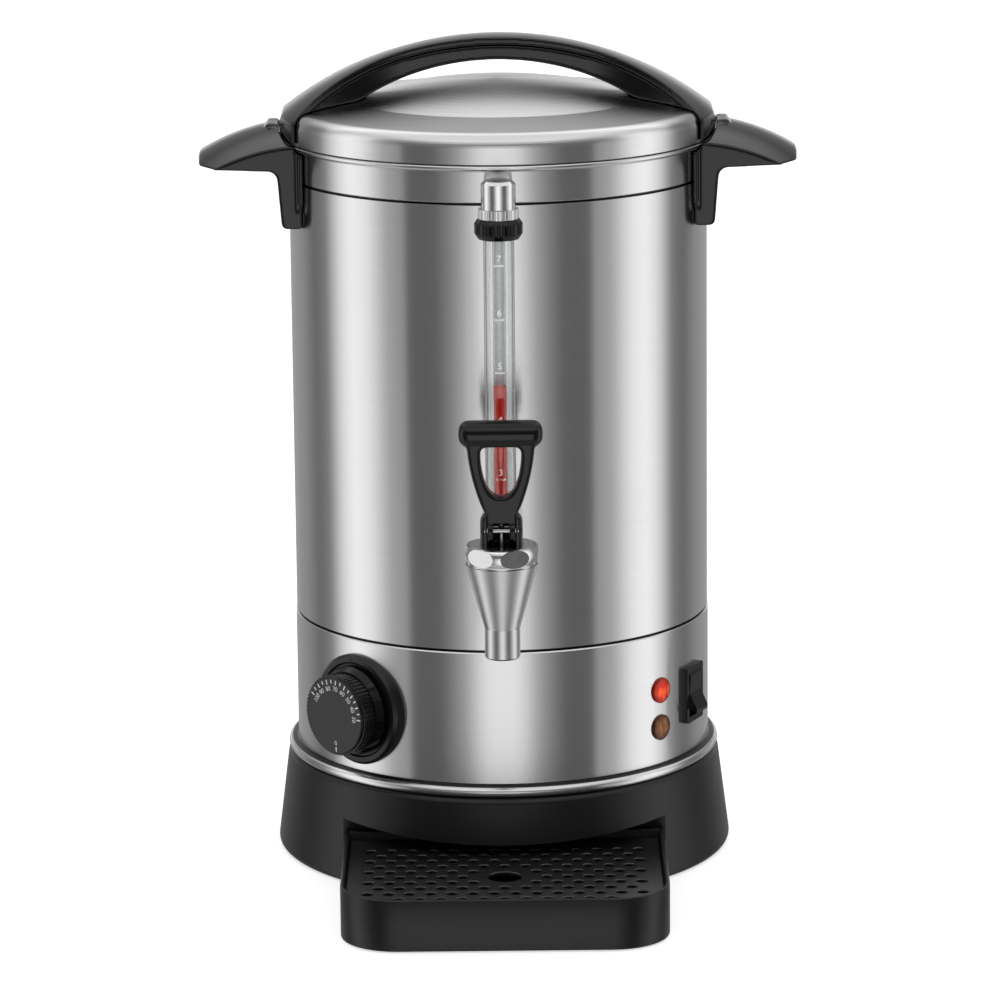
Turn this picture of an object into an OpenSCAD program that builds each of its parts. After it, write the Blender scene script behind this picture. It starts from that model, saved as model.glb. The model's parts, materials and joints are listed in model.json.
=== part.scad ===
// Hot drink dispenser: a heated steel container with a lid, a self-closing tap, a level
// gauge, a thermostat, a switch, two lamps and a drip tray.
// Millimetres. +Z is up, -Y is the front, and the origin is on the container's axis at the table.
// Azimuths are seen from above: 0 is the front and positive turns towards +X.

/* [Container] */
// Outside diameter of the steel wall
body_d = 225; // [215:1:245]
// Thickness of the steel sheet
sheet_t = 0.8; // [0.6:0.1:1]
// Air gap between the wall and the inner tank
jacket_gap = 4.9; // [4.5:0.1:7]
// Height of the lower band above the flared ring
band_h = 71.9; // [68:0.1:85]
// Height of the wall that shows between the band and the collar
wall_h = 239.4; // [225:0.1:270]
// Height of the collar under the lid
collar_h = 19.6; // [17:0.1:22]
// How far the rim under the lid stands out from the wall
rim_out = 2.9; // [2:0.1:4]
// Height of the tank floor above the seam of the band
floor_rise = 12; // [10:0.5:20]

/* [Base] */
// Height of the black base
base_h = 54.5; // [52:0.5:60]
// How far the foot of the base stands out from the wall
base_flare = 12; // [9:0.5:18]
// How far the top of the base stands out from the wall
base_top_out = 6; // [5:0.5:8]
// Wall of the base moulding
base_t = 3; // [2.5:0.1:4]
// Height of the flared steel ring on the base
ring_h = 6.6; // [6.2:0.1:9]
// How far the bead of the flared ring stands out from the wall
bead_out = 5.5; // [4.5:0.1:6]
// Radius of the bead
bead_r = 2.8; // [2.2:0.1:2.9]

/* [Drip tray] */
// Width of the drip tray
tray_w = 171; // [150:1:180]
// How far the front of the tray stands out from the foot of the base
tray_out = 88.5; // [76:0.5:100]
// Height of the tray
tray_h = 27.6; // [25:0.1:29]
// Wall and floor of the tray
tray_t = 2.4; // [2:0.1:3]
// Radius of the front corners of the tray
tray_corner = 30; // [20:1:40]
// Depth of the grid below the tray's edge
grid_sink = 5.3; // [4:0.1:7]
// Thickness of the drip grid
grid_t = 2.2; // [1.8:0.1:3]
// Diameter of a small hole of the grid
grid_hole = 6; // [4:0.1:7]
// Distance between the rows of holes
grid_pitch = 11; // [10:0.5:14]

/* [Lid] */
// Height of the straight edge of the lid
lid_edge_h = 8.6; // [7:0.1:12]
// Radius of the lid's shoulder
lid_shoulder = 7.2; // [5:0.1:9]
// Slope of the ring between shoulder and dome, in degrees
lid_slope = 6.3; // [4:0.1:9]
// Diameter of the dome
dome_d = 155.6; // [140:0.1:165]
// Height of the dome
dome_rise = 10.4; // [8:0.1:13]
// Width of the lid handle at its middle
bow_w = 24; // [20:1:30]
// Height of the lid handle's top above the top of the dome
bow_rise = 23.5; // [22:0.1:28]
// Thickness of the bow at its middle
bow_t = 12.6; // [11:0.1:15]
// Thickness of the bow's cover
bow_cover_t = 4.2; // [3.5:0.1:5.5]
// Fall of the bow's crowned top from its middle to its ends
bow_fall = 39.8; // [38:0.1:42]
// Radius of the arch under the bow
arch_r = 140; // [130:1:150]
// Radius of the flares at the ends of the bow
bow_flare_r = 76; // [70:1:90]

/* [Side handles] */
// Width of a side handle, front to back
grip_w = 86; // [76:1:92]
// How far the tip of a side handle stands out from the wall
grip_out = 48.1; // [40:0.1:55]
// Thickness of the handle's leg at its middle
leg_t = 3.6; // [3:0.1:6]
// Height of the leg below the grip
leg_h = 31; // [26:0.5:38]
// Thickness of the grip at its root
grip_root = 21; // [19:0.5:25]
// Fall of the grip's top from root to tip
grip_fall = 11; // [8:0.5:13]
// Radius of the grip's crowned top
grip_curve = 115; // [105:5:135]

/* [Tap] */
// Clearance between the nut and the socket of the gauge
tap_gap = 0.4; // [0.3:0.1:10]
// Height of the nozzle's mouth above the table
nozzle_z = 141.7; // [134:0.1:146]
// Outside diameter of the nozzle
nozzle_d = 18.4; // [17.8:0.1:20]
// Length of the nozzle below the cone
nozzle_l = 16; // [12:0.5:20]
// Diameter of the cone at its top
cone_d = 37.4; // [36:0.1:38]
// Height of the cone
cone_h = 34; // [32:0.5:37]
// Bore of the nozzle
spout_bore = 14; // [12:0.5:14.5]
// Diameter of the nut over its rounded edge
nut_d = 39.2; // [38.8:0.1:42]
// Height of the nut
nut_h = 10.4; // [9.6:0.1:13]
// Diameter of the bonnet
bonnet_d = 22; // [20:0.5:24]
// Height of the bonnet's cheeks above the nut
cheek_h = 17; // [16:0.5:19]
// Diameter of the shank through the wall
shank_d = 20; // [18:0.5:22]
// Bore of the shank
shank_bore = 12; // [10:0.5:13]
// Distance of the lever's pin in front of the valve stem
pin_offset = 5; // [4.5:0.1:6]
// Diameter of the lever's pin
pin_d = 3; // [2.5:0.1:3.5]
// Diameter of the valve stem
stem_d = 3.2; // [2.6:0.1:3.6]
// Wire of the valve spring
spring_wire = 1.2; // [0.8:0.1:1.5]
// Turns of the valve spring
spring_turns = 5; // [4:1:6]
// Length of the lever's bar
bar_l = 42.8; // [38:0.1:50]
// Diameter of the lever's bar
bar_d = 13.4; // [11:0.1:15]
// Height of the lever's bar above its pin
bar_rise = 51; // [46:0.5:56]
// Width of the lever's loop outside
loop_w = 34.6; // [32:0.1:38]
// Width of the lever's arms
arm_w = 6.4; // [5:0.1:7.5]
// Thickness of the lever
lever_t = 9; // [8:0.1:10]

/* [Level gauge] */
// Distance from the wall to the gauge's axis
gauge_out = 13.5; // [13.3:0.1:15]
// Outside diameter of the clear outer tube
shield_d = 16; // [15:0.1:17]
// Outside diameter of the inner glass tube
glass_d = 6.8; // [6:0.1:7.4]
// Wall of both tubes
tube_t = 1; // [0.8:0.1:1.2]
// Diameter of the black holder
holder_d = 25; // [24:0.1:26]
// Height of the black holder
holder_h = 10.4; // [10:0.1:13]
// Height of the holder's foot above the lower seam of the collar, below it if negative
holder_rise = -16; // [-20:0.5:-14]
// Diameter of the chrome cap
cap_d = 17.9; // [17.4:0.1:19]
// Height of the chrome cap with its knurled skirt
cap_h = 19.5; // [17:0.1:22]
// Diameter of the knurled skirt
skirt_d = 21; // [20:0.1:23]

/* [Controls] */
// Height of the thermostat's axis above the table
knob_z = 95; // [92:0.5:100]
// Azimuth of the thermostat
knob_az = -43; // [-50:1:-38]
// Diameter of the bezel under the knob
bezel_d = 60; // [56:0.5:64]
// Height of the bezel above the band
bezel_h = 3.2; // [2.5:0.1:4.5]
// Diameter of the knob's face
knob_d = 42; // [36:0.5:44]
// Diameter of the knob's foot
knob_foot_d = 48; // [45:0.5:50]
// Height of the knob
knob_h = 15.5; // [13:0.5:20]
// Diameter of the thermostat's shaft
shaft_d = 6; // [5:0.1:6.5]
// Azimuth of the lamps
lamp_az = 48.5; // [44:0.5:50]
// Height of the lower lamp above the table
lamp_z = 81; // [78:0.5:86]
// Distance between the lamps
lamp_pitch = 20.5; // [18:0.5:24]
// Diameter of a lamp's lens
lamp_d = 14; // [11:0.5:15]
// Azimuth of the switch
switch_az = 64.5; // [63:0.5:75]
// Height of the switch's middle above the table
switch_z = 93.5; // [90:0.5:98]
// Width of the switch's frame
switch_w = 21.5; // [19:0.5:23]
// Height of the switch's frame
switch_h = 31; // [28:0.5:34]
// Tilt of the rocker at rest, in degrees
rocker_tilt = 11; // [9:0.5:12]

/* [Fits] */
// Running clearance of pins, stems and shafts, on the radius
run_gap = 0.05; // [0.02:0.01:0.09]
// Clearance of fixed pieces in their holes, on the radius
fix_gap = 0.1; // [0.05:0.01:0.15]
// Clearance between pieces that slide or lift past each other
slide_gap = 0.4; // [0.3:0.05:0.6]
// Clearance between a lid, cover or cap and its seat
seat_gap = 0.2; // [0.1:0.05:0.3]
// Gap that shows at the seams of the steel pieces
seam_gap = 0.9; // [0.5:0.1:1.2]

/* [Hidden] */
$fn = 96;
big = 600;
thin = 0.02;

// Heights of the stack
ring_z = base_h;
band_z = ring_z + ring_h;
wall_z = band_z + band_h;
collar_z = wall_z + wall_h;
rim_z = collar_z + collar_h;
flange_z = rim_z + sheet_t;

// Radii of the container
body_r = body_d / 2;
wall_in = body_r - sheet_t;
band_r = body_r + 0.4;
band_in = band_r - sheet_t;
tank_out = wall_in - jacket_gap;
tank_in = tank_out - sheet_t;
joggle_in = sheet_t + seat_gap;
collar_in = body_r - joggle_in + fix_gap;
collar_r = collar_in + sheet_t;
rim_r = body_r + rim_out;
tank_floor = wall_z + floor_rise;
tank_under = tank_floor - sheet_t;
joggle_h = 6;
lip_z = collar_z - seam_gap;
lip_round = 0.5;
tank_corner = 6;

// Points of an arc about c, from angle a to angle b
function arc(c, r, a, b, n = 12) =
  [for (i = [0:n]) c + r * [cos(a + (b - a) * i / n), sin(a + (b - a) * i / n)]];
// Points of a rectangle with rounded corners, centred
function soft_box(w, h, r) = concat(
  arc([w / 2 - r, h / 2 - r], r, 0, 90, 6), arc([r - w / 2, h / 2 - r], r, 90, 180, 6),
  arc([r - w / 2, r - h / 2], r, 180, 270, 6), arc([w / 2 - r, r - h / 2], r, 270, 360, 6));

// A solid of revolution about the container's axis
module turned(points) {
  rotate_extrude($fn = 180) polygon(points);
}
// A ring about the container's axis
module ring(r_in, r_out, z, h) {
  turned([[r_in, z], [r_out, z], [r_out, z + h], [r_in, z + h]]);
}
// Local x along the wall, local y up, local z outwards from the container's axis
module on_wall(azimuth, z) {
  rotate([0, 0, azimuth]) translate([0, 0, z]) rotate([90, 0, 0]) children();
}
// A screw along +Z with its head below z = 0
module screw(d, l, head_d, head_h) {
  cylinder(d = d, h = l);
  translate([0, 0, -head_h]) cylinder(d = head_d, h = head_h);
}

// Base
skirt_foot = body_r + base_flare;
skirt_top = body_r + base_top_out;
foot_round = 3.5;
top_round = 4;
plate_z = 3;
plate_t = 2;
boss_d = 10;
boss_orbit = body_r - 18;
boss_az = [90, 140, 220, 270];
roof_in = boss_orbit - 6;
foot_d = 18;
foot_taper = 3;
foot_az = [75, 160, 200, 285];
base_screw_d = 4;
base_screw_l = plate_t + 12;
base_screw_head = 7;
base_screw_head_h = 1.6;
bay_w = tray_w + 2 * slide_gap + 1;
bay_back = sqrt(pow(skirt_foot, 2) - pow(bay_w / 2, 2)) - 6;
bay_top = tray_h + 1.8;
bay_bow = 5.2;
bay_wall = 2.5;
plate_r = skirt_foot - base_t - 3;

module skirt_outline() {
  slant = atan2(skirt_foot - skirt_top, base_h - foot_round);
  polygon(concat(
    [[0, 0]], arc([skirt_foot - foot_round, foot_round], foot_round, -90, slant, 8),
    arc([skirt_top - top_round, base_h - top_round], top_round, slant, 90, 6), [[0, base_h]]));
}
// Mouth of the tray bay, seen from the front, its upper edge bowed down in the middle
module bay_mouth(w, grow) {
  bow_radius = (pow(w / 2, 2) + pow(bay_bow, 2)) / (2 * bay_bow);
  difference() {
    translate([-w / 2, -1]) square([w, bay_top + bay_bow + grow + 1]);
    translate([0, bay_top + grow + bow_radius]) circle(r = bow_radius, $fn = 720);
  }
}
module base_skirt() color("#232323") {
  difference() {
    union() {
      rotate_extrude($fn = 180) difference() {
        skirt_outline();
        translate([-1, -1]) square([roof_in + 1, base_h + 2]);
        polygon([[0, -1], [skirt_foot - base_t - foot_round, -1], [skirt_foot - base_t, foot_round],
          [skirt_top - base_t - 1, base_h - base_t], [0, base_h - base_t]]);
      }
      intersection() {
        rotate_extrude($fn = 180) skirt_outline();
        translate([0, -bay_back + bay_wall, 0]) rotate([90, 0, 0])
          linear_extrude(big) bay_mouth(bay_w + 2 * bay_wall, bay_wall);
      }
      for (a = boss_az) rotate([0, 0, a]) translate([0, -boss_orbit, plate_z + plate_t])
        cylinder(d = boss_d, h = base_h - base_t / 2 - plate_z - plate_t);
    }
    translate([0, -bay_back, 0]) rotate([90, 0, 0]) linear_extrude(big) bay_mouth(bay_w, 0);
    for (a = boss_az) rotate([0, 0, a]) translate([0, -boss_orbit, 0])
      cylinder(d = base_screw_d + 2 * fix_gap, h = plate_z + base_screw_l + 2);
  }
}
module base_plate() color("#303030") difference() {
  translate([0, 0, plate_z]) cylinder(r = plate_r, h = plate_t, $fn = 180);
  translate([-big / 2, -bay_back + bay_wall + slide_gap - big, -1]) cube([big, big, big]);
  for (a = boss_az) rotate([0, 0, a]) translate([0, -boss_orbit, 0])
    cylinder(d = base_screw_d + 2 * fix_gap, h = base_h);
}
module base_feet() color("#1c1c1c") for (a = foot_az)
  rotate([0, 0, a]) translate([0, -boss_orbit, 0])
    cylinder(d1 = foot_d - foot_taper, d2 = foot_d, h = plate_z);
module base_screws() color("#9a9a98") for (a = boss_az)
  rotate([0, 0, a]) translate([0, -boss_orbit, plate_z])
    screw(base_screw_d, base_screw_l, base_screw_head, base_screw_head_h);

// Flared ring between base and band: a cove above a rolled bead
bead_c = body_r + bead_out - bead_r;
cove_r = ring_h - 2 * bead_r;
ring_in = band_in - 3;
module flared_ring() color("#c9c9c6") turned(concat(
  [[ring_in, ring_z], [bead_c, ring_z]],
  arc([bead_c, ring_z + bead_r], bead_r, -90, 60, 12),
  arc([band_r + cove_r, band_z], cove_r, 245, 180, 8),
  [[ring_in, band_z]]));

// Controls on the lower band
bushing_d = 10;
gland_z = band_z + 16;
gland_d = 9;
lamp_neck = 10;
switch_body_w = switch_w - 4;
switch_body_h = switch_h - 4;
bezel_face = band_r + bezel_h;
knob_base = bezel_face + slide_gap;
knob_face = knob_base + knob_h;
lamp_heights = [lamp_z, lamp_z + lamp_pitch];

module lower_band() color("#c4c3c0") difference() {
  turned([
    [band_in, band_z], [band_r, band_z], [band_r, wall_z - 1], [band_r - 0.5, wall_z - 0.4],
    [wall_in - fix_gap, wall_z], [wall_in - fix_gap, wall_z + joggle_h],
    [wall_in - fix_gap - sheet_t, wall_z + joggle_h],
    [wall_in - fix_gap - sheet_t, wall_z - sheet_t], [band_in, wall_z - 2 * sheet_t]]);
  on_wall(knob_az, knob_z) cylinder(d = bushing_d + 2 * fix_gap, h = big);
  for (z = lamp_heights) on_wall(lamp_az, z) cylinder(d = lamp_neck + 2 * fix_gap, h = big);
  on_wall(switch_az, switch_z) linear_extrude(big)
    square([switch_body_w + 2 * fix_gap, switch_body_h + 2 * fix_gap], center = true);
  on_wall(180, gland_z) cylinder(d = gland_d + 2 * fix_gap, h = big);
}

// Shank and gauge places that the wall and the tank share
shank_drop = 15.7;
shank_z = nozzle_z + nozzle_l + cone_h - shank_drop;
shank_hole = shank_d + 2 * fix_gap;
gauge_y = body_r + gauge_out;
socket_d = shield_d + 4;
tap_reach = gauge_y + socket_d / 2 + tap_gap + nut_d / 2;
holder_z = collar_z + holder_rise;
holder_screw_z = holder_z + holder_h / 2;
screw_d = 4;
screw_hole = screw_d + 2 * fix_gap;
screw_head = 7.5;
screw_head_h = 2.4;
screw_seat = sqrt(pow(wall_in, 2) - pow(screw_head / 2, 2)) - thin;
handle_screw_az = 11;

// The wall is drawn in under the collar, so that the two are flush with a groove between them
module outer_wall() color("#bdbcb9") difference() {
  wall_top = rim_z - sheet_t - seat_gap;
  turned(concat(
    [[wall_in, wall_z + seam_gap], [body_r, wall_z + seam_gap]],
    arc([body_r - lip_round, lip_z - lip_round], lip_round, 0, 90, 4),
    [[body_r - joggle_in, lip_z], [body_r - joggle_in, wall_top], [wall_in - joggle_in, wall_top],
     [wall_in - joggle_in, lip_z - sheet_t], [wall_in, lip_z - sheet_t - joggle_in]]));
  on_wall(0, shank_z) cylinder(d = shank_hole, h = big);
  on_wall(0, holder_screw_z) cylinder(d = screw_hole, h = big);
  for (side = [-90, 90], a = [-handle_screw_az, handle_screw_az])
    on_wall(side + a, handle_screw_z) cylinder(d = screw_hole, h = big);
}
module collar() color("#c4c3c0") turned([
  [collar_in, collar_z], [collar_r - 0.3, collar_z], [collar_r, collar_z + 0.4],
  [collar_r, rim_z - 3.4], [rim_r - 0.6, rim_z - 2.4], [rim_r, rim_z - 1.6],
  [rim_r, rim_z - 0.6], [rim_r - 0.4, rim_z], [tank_out + fix_gap, rim_z],
  [tank_out + fix_gap, rim_z - sheet_t], [collar_in, rim_z - sheet_t]]);
tank_corner_c = [tank_out - tank_corner, tank_under + tank_corner];
module inner_tank() color("#b8b8b6") difference() {
  turned(concat(
    [[0, tank_under]], arc(tank_corner_c, tank_corner, -90, 0, 6),
    [[tank_out, rim_z], [collar_r, rim_z], [collar_r, flange_z], [tank_in, flange_z]],
    arc(tank_corner_c, tank_corner - sheet_t, 0, -90, 6), [[0, tank_floor]]));
  on_wall(0, shank_z) cylinder(d = shank_hole, h = big);
}

// Heating under the tank
plate_margin = 26;
plate_d = 2 * (tank_in - plate_margin);
heat_plate_t = 4;
heater_d = 8;
heater_margin = 14;
heater_orbit = plate_d / 2 - heater_margin;
heat_z = tank_under - heat_plate_t;
heater_leg = 30;
cutout_d = 26;
cutout_flange = 3;
cutout_body_d = 18;
cutout_h = 12;
cutout_tag = [6, 0.8, 9];
cutout_tag_root = 1;
module heat_plate() color("#a9abad")
  translate([0, 0, heat_z]) cylinder(d = plate_d, h = heat_plate_t);
module heater() color("#8e8a84") {
  translate([0, 0, heat_z - heater_d / 2]) rotate([0, 0, 100]) rotate_extrude(angle = 340)
    translate([heater_orbit, 0]) circle(d = heater_d, $fn = 32);
  for (a = [100, 80]) rotate([0, 0, a]) translate([heater_orbit, 0, heat_z - heater_leg])
    cylinder(d = heater_d, h = heater_leg - heater_d / 2);
}
module thermal_cutout() color("#3a3330") {
  translate([0, 0, heat_z - cutout_flange]) cylinder(d = cutout_d, h = cutout_flange);
  translate([0, 0, heat_z - cutout_h]) cylinder(d = cutout_body_d, h = cutout_h - cutout_flange / 2);
  tag_z = heat_z - cutout_h + cutout_tag_root - cutout_tag[2] / 2;
  for (x = [-1, 1]) translate([x * cutout_tag[0], 0, tag_z]) cube(cutout_tag, center = true);
}

// Lid
lid_r = rim_r + 0.1;
lid_z = rim_z + seam_gap;
shoulder_z = lid_z + lid_edge_h;
shoulder_end = [lid_r - lid_shoulder, shoulder_z] + lid_shoulder * [sin(lid_slope), cos(lid_slope)];
dome_r = dome_d / 2;
dome_z = shoulder_end[1] + (shoulder_end[0] - dome_r) * tan(lid_slope);
dome_sphere = (pow(dome_r, 2) + pow(dome_rise, 2)) / (2 * dome_rise);
dome_top = dome_z + dome_rise;
dome_angle = asin(dome_r / dome_sphere);
dome_centre = [0, dome_top - dome_sphere];

// Upper side of the lid from its edge to the middle, moved in by t
function lid_line(t) = concat(
  [[lid_r - t, lid_z]],
  arc([lid_r - lid_shoulder, shoulder_z], lid_shoulder - t, 0, 90 - lid_slope, 10),
  [[dome_r + 1, dome_z - tan(lid_slope) - t]],
  arc(dome_centre, dome_sphere - t, 90 - dome_angle, 90, 16));
function reversed(p) = [for (i = [len(p) - 1:-1:0]) p[i]];
// Height of the ring between shoulder and dome
function lid_ring_z(r) = dome_z - (r - dome_r) * tan(lid_slope);

bow_screw = [lid_r - 26, bow_w / 2 - 4];
bow_screw_r = norm(bow_screw);
module bow_screw_places() for (x = [-1, 1], y = [-1, 1])
  translate([x * bow_screw[0], y * bow_screw[1], 0]) children();

module lid_shell() color("#bfbebb") difference() {
  turned(concat(lid_line(0), reversed(lid_line(sheet_t))));
  bow_screw_places() cylinder(d = screw_hole, h = big);
}
plug_r = tank_in - slide_gap;
plug_h = 8;
seal_w = 6;
seal_t = 2.5;
module lid_plug() color("#b0b0ae") turned([
  [plug_r - sheet_t, rim_z - plug_h], [plug_r, rim_z - plug_h],
  [plug_r, flange_z + seal_t], [plug_r + seal_w, flange_z + seal_t],
  [plug_r + seal_w, flange_z + seal_t + sheet_t], [plug_r, flange_z + seal_t + sheet_t],
  [plug_r, lid_ring_z(plug_r) - sheet_t - fix_gap],
  [plug_r - sheet_t, lid_ring_z(plug_r - sheet_t) - sheet_t - fix_gap]]);
module lid_seal() color("#d8d4cc")
  ring(plug_r + thin, plug_r + seal_w, flange_z + seat_gap, seal_t - seat_gap);

// Bow handle over the lid
bow_end = lid_r + 0.8;
bow_plan_r = lid_r + 2.1;
bow_top = dome_top + bow_rise;
bow_r = (pow(bow_end, 2) + pow(bow_fall, 2)) / (2 * bow_fall);
bow_c = [0, bow_top - bow_r];
arch_c = [0, bow_top - bow_t - arch_r];
bow_end_round = 8;
bow_low = lid_z + 1;
flare_lip = 3.4;
bow_straight = bow_plan_r - bow_flare_r + flare_lip;
bow_inset = 0.9;

// Ball that gives a handle its crowned top, about centre c in the x-z plane
module crown_ball(c, r) {
  translate([c[0], 0, c[1]]) rotate([90, 0, 0]) sphere(r = r, $fn = 240);
}
// Plan of the bow: straight in the middle, flared to the rim at both ends, moved in by t
module bow_plan(t) difference() {
  circle(r = bow_plan_r - t, $fn = 180);
  for (y = [-1, 1]) scale([1, y]) {
    translate([-bow_straight, bow_w / 2 - t]) square([2 * bow_straight, big]);
    for (x = [-1, 1]) translate([x * bow_straight, bow_w / 2 - t + bow_flare_r])
      circle(r = bow_flare_r, $fn = 180);
  }
}
// Front view of the bow's outside with its rounded ends, moved in by t
module bow_front(t) {
  x = bow_end - t - bow_end_round;
  c = [x, bow_c[1] + sqrt(pow(bow_r - t - bow_end_round, 2) - pow(x, 2))];
  a = atan2(c[1] - bow_c[1], c[0]);
  polygon(concat(
    [[-bow_end + t, bow_low], [bow_end - t, bow_low]], arc(c, bow_end_round, 0, a, 6),
    [[bow_end, bow_top], [-bow_end, bow_top]], arc([-x, c[1]], bow_end_round, 180 - a, 180, 6)));
}
module bow_body(t, drop) intersection() {
  translate([0, 0, bow_low]) linear_extrude(bow_top) bow_plan(t);
  rotate([90, 0, 0]) linear_extrude(big, center = true) bow_front(t);
  crown_ball(bow_c, bow_r - drop);
}
// The lid with a little air round it
module lid_space() turned(concat([[0, 0], [lid_r + fix_gap, 0]],
  [for (p = lid_line(0)) p + fix_gap * [p[0] > thin ? 1 : 0, 1]]));
module lid_handle_cover() color("#1e1e1e") difference() {
  bow_body(0, 0);
  intersection() {
    crown_ball(bow_c, bow_r - bow_cover_t);
    cylinder(r = lid_r + fix_gap, h = big, $fn = 180);
  }
  lid_space();
}
module lid_handle() color("#262626") difference() {
  intersection() {
    bow_body(bow_inset, bow_cover_t + fix_gap);
    cylinder(r = lid_r - lid_shoulder / 2, h = big, $fn = 180);
  }
  rotate([90, 0, 0]) linear_extrude(big, center = true)
    translate(arch_c) circle(r = arch_r, $fn = 360);
  lid_space();
  bow_screw_places() cylinder(d = screw_hole, h = lid_ring_z(bow_screw_r) + 4);
}
module lid_screws() color("#9a9a98") bow_screw_places()
  translate([0, 0, lid_ring_z(bow_screw_r + screw_head / 2) - sheet_t - fix_gap])
    screw(screw_d, 4, screw_head, screw_head_h);

// Side handles
grip_top = rim_z + 8;
grip_reach = body_r + grip_out;
grip_under = grip_top - grip_root;
leg_out = body_r + leg_t;
leg_foot = grip_under - leg_h;
handle_screw_z = grip_under - leg_h * 0.45;
grip_clear = bow_plan_r + slide_gap + 0.2;
grip_start = [body_r + 3.5, grip_top];
grip_end = [grip_reach - 8.5, grip_top - grip_fall];
pad_t = 2.6;
pad_over = 3;
tip_round = 2.2;
leg_fillet = 5;
block_w = 24;
block_l = 6;
block_h = 0.3;

// Centre of the arc of radius r that rises from b to a, below its chord
function arc_centre(a, b, r) = let (h = (b - a) / 2, l = norm(h))
  a + h + [h[1], -h[0]] / l * sqrt(r * r - l * l);
// Section of a side handle below its curved top: the grip and a leg down the wall
module grip_section() polygon(concat(
  [[body_r - 20, grip_top + block_h], [grip_reach, grip_top + block_h]],
  arc([grip_reach - tip_round, grip_under + 1.4 + tip_round], tip_round, 0, -86, 4),
  arc([leg_out + 1 + leg_fillet, grip_under - leg_fillet], leg_fillet, 90, 176, 6),
  arc([leg_out - 0.8 - 3, leg_foot + 3], 3, -2, -90, 4),
  [[body_r - 20, leg_foot]]));
module grip_plan() intersection() {
  translate([grip_reach - 100, 0]) polygon(soft_box(200, grip_w, 9));
  translate([grip_reach - 4 * grip_w, 0]) circle(r = 4 * grip_w, $fn = 720);
}
module handle_seat() turned([
  [0, 0], [body_r + fix_gap, 0], [body_r + fix_gap, rim_z - 3.8],
  [rim_r + fix_gap + 0.2, rim_z - 2.6], [rim_r + fix_gap + 0.2, rim_z + 0.5],
  [grip_clear, rim_z + 0.5], [grip_clear, big], [0, big]]);
module side_handle() difference() {
  union() {
    intersection() {
      rotate([90, 0, 0]) linear_extrude(grip_w, center = true) grip_section();
      linear_extrude(big) grip_plan();
      crown_ball(arc_centre(grip_start, grip_end, grip_curve), grip_curve);
    }
    translate([body_r, -block_w / 2, grip_top - block_l])
      cube([grip_clear + block_l - body_r, block_w, block_l + block_h]);
    intersection() {
      ring(body_r - 1, body_r + pad_t, leg_foot, rim_z - leg_foot - 3.8);
      rotate([90, 0, 90]) linear_extrude(big)
        translate([0, rim_z]) polygon(soft_box(grip_w + 2 * pad_over, 2 * (rim_z - leg_foot), 18));
    }
  }
  handle_seat();
  for (a = [-handle_screw_az, handle_screw_az]) on_wall(90 + a, handle_screw_z)
    cylinder(d = screw_hole, h = leg_out + 1.5);
}
module side_handle_right() color("#222222") side_handle();
module side_handle_left() color("#222222") mirror([1, 0, 0]) side_handle();
module handle_screws() color("#9a9a98")
  for (side = [-90, 90], a = [-handle_screw_az, handle_screw_az])
    on_wall(side + a, handle_screw_z) translate([0, 0, screw_seat])
      screw(screw_d, leg_t + 0.6, screw_head, screw_head_h);

// Tap
cone_z = nozzle_z + nozzle_l;
nut_z = cone_z + cone_h;
nut_top = nut_z + nut_h;
neck_d = cone_d - 6.6;
flange_top = nut_top - 3;
bonnet_flange_t = 2;
neck_top = flange_top - bonnet_flange_t - seat_gap;
chamber_d = neck_d - 7;
seat_z = nut_z - 24;
seat_d = spout_bore + 5;
shank_tip = tap_reach - chamber_d / 2 - 0.5;
pin_z = nut_top + 8;
pin_y = tap_reach + pin_offset;
slot_w = bonnet_d - 7;
head_z = pin_z;
cheek_top = nut_top + cheek_h;
module on_tap() translate([0, -tap_reach, 0]) children();
// Local z along the shank, outwards from the container's axis
module on_shank() on_wall(0, shank_z) children();

module tap_spout() color("#b4b3b0") difference() {
  union() {
    on_tap() rotate_extrude() polygon([
      [0, nozzle_z], [nozzle_d / 2 - 0.8, nozzle_z], [nozzle_d / 2, nozzle_z + 0.8],
      [nozzle_d / 2, cone_z], [cone_d / 2, nut_z], [neck_d / 2, nut_z],
      [neck_d / 2, neck_top], [0, neck_top]]);
    on_shank() translate([0, 0, spout_back])
      cylinder(d = shank_d + 5, h = tap_reach - 10 - spout_back);
  }
  on_tap() rotate_extrude() polygon([
    [0, nozzle_z - 1], [spout_bore / 2, nozzle_z - 1], [spout_bore / 2, seat_z],
    [seat_d / 2, seat_z], [chamber_d / 2, shank_z + shank_bore / 2],
    [chamber_d / 2, neck_top + 1], [0, neck_top + 1]]);
  on_shank() translate([0, 0, spout_back - 1])
    cylinder(d = shank_hole, h = shank_tip - spout_back + 1);
  on_shank() translate([0, 0, spout_back]) cylinder(d = shank_bore, h = tap_reach - spout_back);
}

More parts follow.
